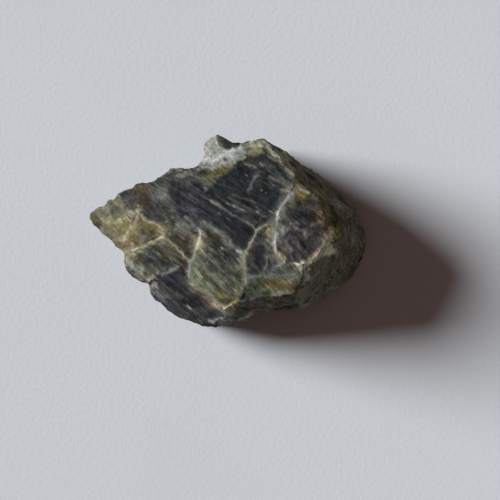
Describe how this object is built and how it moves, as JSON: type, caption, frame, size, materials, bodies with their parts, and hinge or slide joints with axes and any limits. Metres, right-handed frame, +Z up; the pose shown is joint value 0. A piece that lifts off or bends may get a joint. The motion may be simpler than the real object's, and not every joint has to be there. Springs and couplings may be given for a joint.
{
  "type": "raw star diopside",
  "caption": "Rough broken piece of dark green-black fibrous star diopside with pale veins, lying on a flat underside.",
  "frame": {"origin": "centre of the bounding box, on the flat underside that the stone rests on", "axes": "+X along the length, away from the thin tip; +Y to the side that carries the pale lobe; +Z up, square to the flat underside"},
  "size_m": [0.03, 0.0208, 0.0105],
  "materials": {
    "diopside": "raw fibrous cleavage faces, satin, dark green-black with pale cream and yellow-green veins"
  },
  "bodies": {
    "root": {"diopside_stone": "diopside"}
  },
  "joints": []
}
